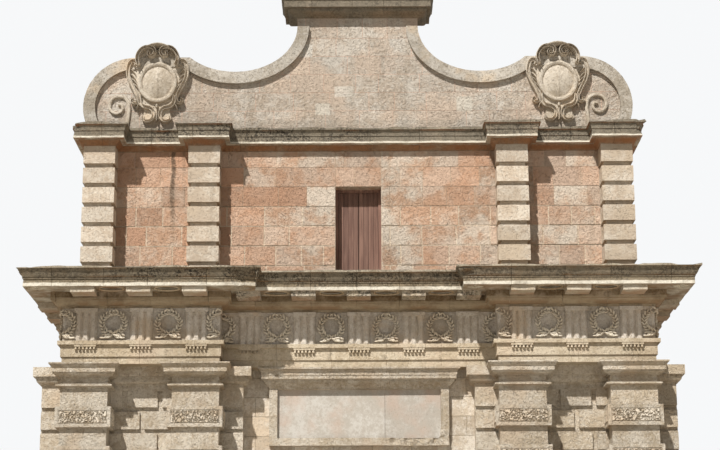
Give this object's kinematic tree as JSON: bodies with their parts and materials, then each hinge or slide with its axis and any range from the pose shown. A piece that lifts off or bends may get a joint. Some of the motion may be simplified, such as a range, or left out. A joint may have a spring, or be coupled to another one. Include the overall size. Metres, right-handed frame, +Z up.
{
  "type": "triumphal arch",
  "caption": "Baroque triumphal arch: a gate with one passage, paired banded Doric pilasters, an attic storey and a scrolled gable.",
  "frame": {"origin": "on the ground at the middle of the plan, under the crown of the passage", "axes": "+Z up, -Y out of the front, +X to the right seen from the front"},
  "size_m": [14.1, 7.34, 16.2],
  "materials": {
    "cream_stone": "matte",
    "attic_stone": "matte",
    "weathered_stone": "matte",
    "marble": "satin",
    "painted_timber": "matte"
  },
  "bodies": {
    "root": {"left_core": "cream_stone", "right_core": "cream_stone", "arch_vault": "cream_stone", "left_front_facing": "cream_stone", "right_front_facing": "cream_stone", "left_rear_facing": "cream_stone", "right_rear_facing": "cream_stone", "left_end_facing": "cream_stone", "right_end_facing": "cream_stone", "left_pedestals": "cream_stone", "right_pedestals": "cream_stone", "left_outer_pilaster": "cream_stone", "left_inner_pilaster": "cream_stone", "right_inner_pilaster": "cream_stone", "right_outer_pilaster": "cream_stone", "rear_pilasters": "cream_stone", "front_archivolt": "cream_stone", "rear_archivolt": "cream_stone", "tablet_frame": "cream_stone", "tablet_slab": "marble", "tablet_hood": "cream_stone", "architrave": "cream_stone", "frieze": "cream_stone", "triglyphs": "cream_stone", "wreaths": "cream_stone", "main_cornice": "weathered_stone", "mutules": "cream_stone", "attic_floor": "weathered_stone", "attic_wall_left": "attic_stone", "attic_wall_right": "attic_stone", "attic_lintel": "attic_stone", "attic_rear_wall": "attic_stone", "attic_left_end": "attic_stone", "attic_right_end": "attic_stone", "left_outer_attic_pier": "cream_stone", "left_inner_attic_pier": "cream_stone", "right_inner_attic_pier": "cream_stone", "right_outer_attic_pier": "cream_stone", "rear_attic_piers": "cream_stone", "attic_cornice": "weathered_stone", "attic_roof": "weathered_stone", "door_frame": "painted_timber", "left_door_leaf": "painted_timber", "right_door_leaf": "painted_timber", "gable_wall": "cream_stone", "left_coping": "cream_stone", "right_coping": "cream_stone", "neck_cornice": "weathered_stone", "left_cartouche": "cream_stone", "right_cartouche": "cream_stone"}
  },
  "joints": []
}
